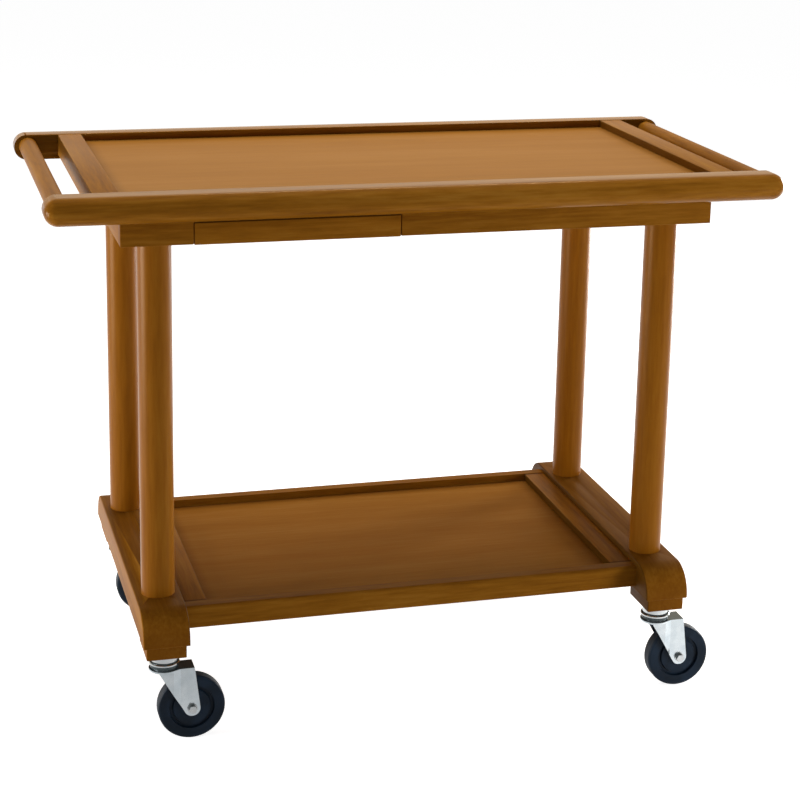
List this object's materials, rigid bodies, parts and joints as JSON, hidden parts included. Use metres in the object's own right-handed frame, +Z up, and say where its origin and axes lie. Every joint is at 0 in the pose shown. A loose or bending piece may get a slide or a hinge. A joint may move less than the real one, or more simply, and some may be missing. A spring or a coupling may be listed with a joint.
{
  "type": "food service trolley",
  "caption": "Wooden service trolley: round-edged tray top with end handle bars, small apron drawer, round posts, lower tray and swivel casters.",
  "frame": {"origin": "on the floor, under the middle of the trolley", "axes": "+X along the length towards the right end, +Y towards the back, +Z up; the drawer opens towards -Y"},
  "size_m": [1.0998, 0.5638, 0.83],
  "materials": {
    "frame_wood": "satin lacquer, walnut stain",
    "panel_wood": "satin lacquer, walnut stain",
    "plain_wood": "unstained",
    "fastener_steel": "zinc plated",
    "zinc_plate": "bright zinc plated",
    "solid_tyre": "satin"
  },
  "bodies": {
    "trolley": {"front_rail": "frame_wood", "back_rail": "frame_wood", "left_handle": "frame_wood", "right_handle": "frame_wood", "left_cross_rail": "frame_wood", "right_cross_rail": "frame_wood", "top_panel": "panel_wood", "apron_front_left": "frame_wood", "apron_front_right": "frame_wood", "apron_back": "frame_wood", "apron_left": "frame_wood", "apron_right": "frame_wood", "batten_left": "frame_wood", "batten_right": "frame_wood", "runner_left": "plain_wood", "runner_right": "plain_wood", "post_fl": "frame_wood", "post_fr": "frame_wood", "post_bl": "frame_wood", "post_br": "frame_wood", "beam_left": "frame_wood", "beam_right": "frame_wood", "foot_fl": "frame_wood", "foot_fr": "frame_wood", "foot_bl": "frame_wood", "foot_br": "frame_wood", "shelf_front_rail": "frame_wood", "shelf_back_rail": "frame_wood", "shelf_left_rail": "frame_wood", "shelf_right_rail": "frame_wood", "shelf_panel": "panel_wood", "post_bolts": "fastener_steel", "dowels": "plain_wood", "foot_screws": "fastener_steel", "stem_fl": "zinc_plate", "stem_fr": "zinc_plate", "stem_bl": "zinc_plate", "stem_br": "zinc_plate"},
    "drawer": {"drawer_front": "frame_wood", "drawer_left_side": "plain_wood", "drawer_right_side": "plain_wood", "drawer_back": "plain_wood", "drawer_bottom": "plain_wood"},
    "fork_front_left": {"fork_fl": "zinc_plate", "axle_fl": "fastener_steel"},
    "wheel_front_left": {"wheel_fl": "solid_tyre", "bush_fl": "fastener_steel"},
    "fork_front_right": {"fork_fr": "zinc_plate", "axle_fr": "fastener_steel"},
    "wheel_front_right": {"wheel_fr": "solid_tyre", "bush_fr": "fastener_steel"},
    "fork_back_left": {"fork_bl": "zinc_plate", "axle_bl": "fastener_steel"},
    "wheel_back_left": {"wheel_bl": "solid_tyre", "bush_bl": "fastener_steel"},
    "fork_back_right": {"fork_br": "zinc_plate", "axle_br": "fastener_steel"},
    "wheel_back_right": {"wheel_br": "solid_tyre", "bush_br": "fastener_steel"}
  },
  "joints": [
    {"name": "drawer_slide", "type": "slide", "parent": "trolley", "child": "drawer", "axis": [0, -1, 0], "range_m": [0, 0.26]},
    {"name": "swivel_front_left", "type": "hinge", "parent": "trolley", "child": "fork_front_left", "pos_m": [-0.389, -0.239, 0.115], "axis": [0, 0, 1], "continuous": true},
    {"name": "roll_front_left", "type": "hinge", "parent": "fork_front_left", "child": "wheel_front_left", "pos_m": [-0.35, -0.239, 0.05], "axis": [0, 1, 0], "continuous": true},
    {"name": "swivel_front_right", "type": "hinge", "parent": "trolley", "child": "fork_front_right", "pos_m": [0.389, -0.239, 0.115], "axis": [0, 0, 1], "continuous": true},
    {"name": "roll_front_right", "type": "hinge", "parent": "fork_front_right", "child": "wheel_front_right", "pos_m": [0.428, -0.239, 0.05], "axis": [0, 1, 0], "continuous": true},
    {"name": "swivel_back_left", "type": "hinge", "parent": "trolley", "child": "fork_back_left", "pos_m": [-0.389, 0.239, 0.115], "axis": [0, 0, 1], "continuous": true},
    {"name": "roll_back_left", "type": "hinge", "parent": "fork_back_left", "child": "wheel_back_left", "pos_m": [-0.35, 0.239, 0.05], "axis": [0, 1, 0], "continuous": true},
    {"name": "swivel_back_right", "type": "hinge", "parent": "trolley", "child": "fork_back_right", "pos_m": [0.389, 0.239, 0.115], "axis": [0, 0, 1], "continuous": true},
    {"name": "roll_back_right", "type": "hinge", "parent": "fork_back_right", "child": "wheel_back_right", "pos_m": [0.428, 0.239, 0.05], "axis": [0, 1, 0], "continuous": true}
  ]
}
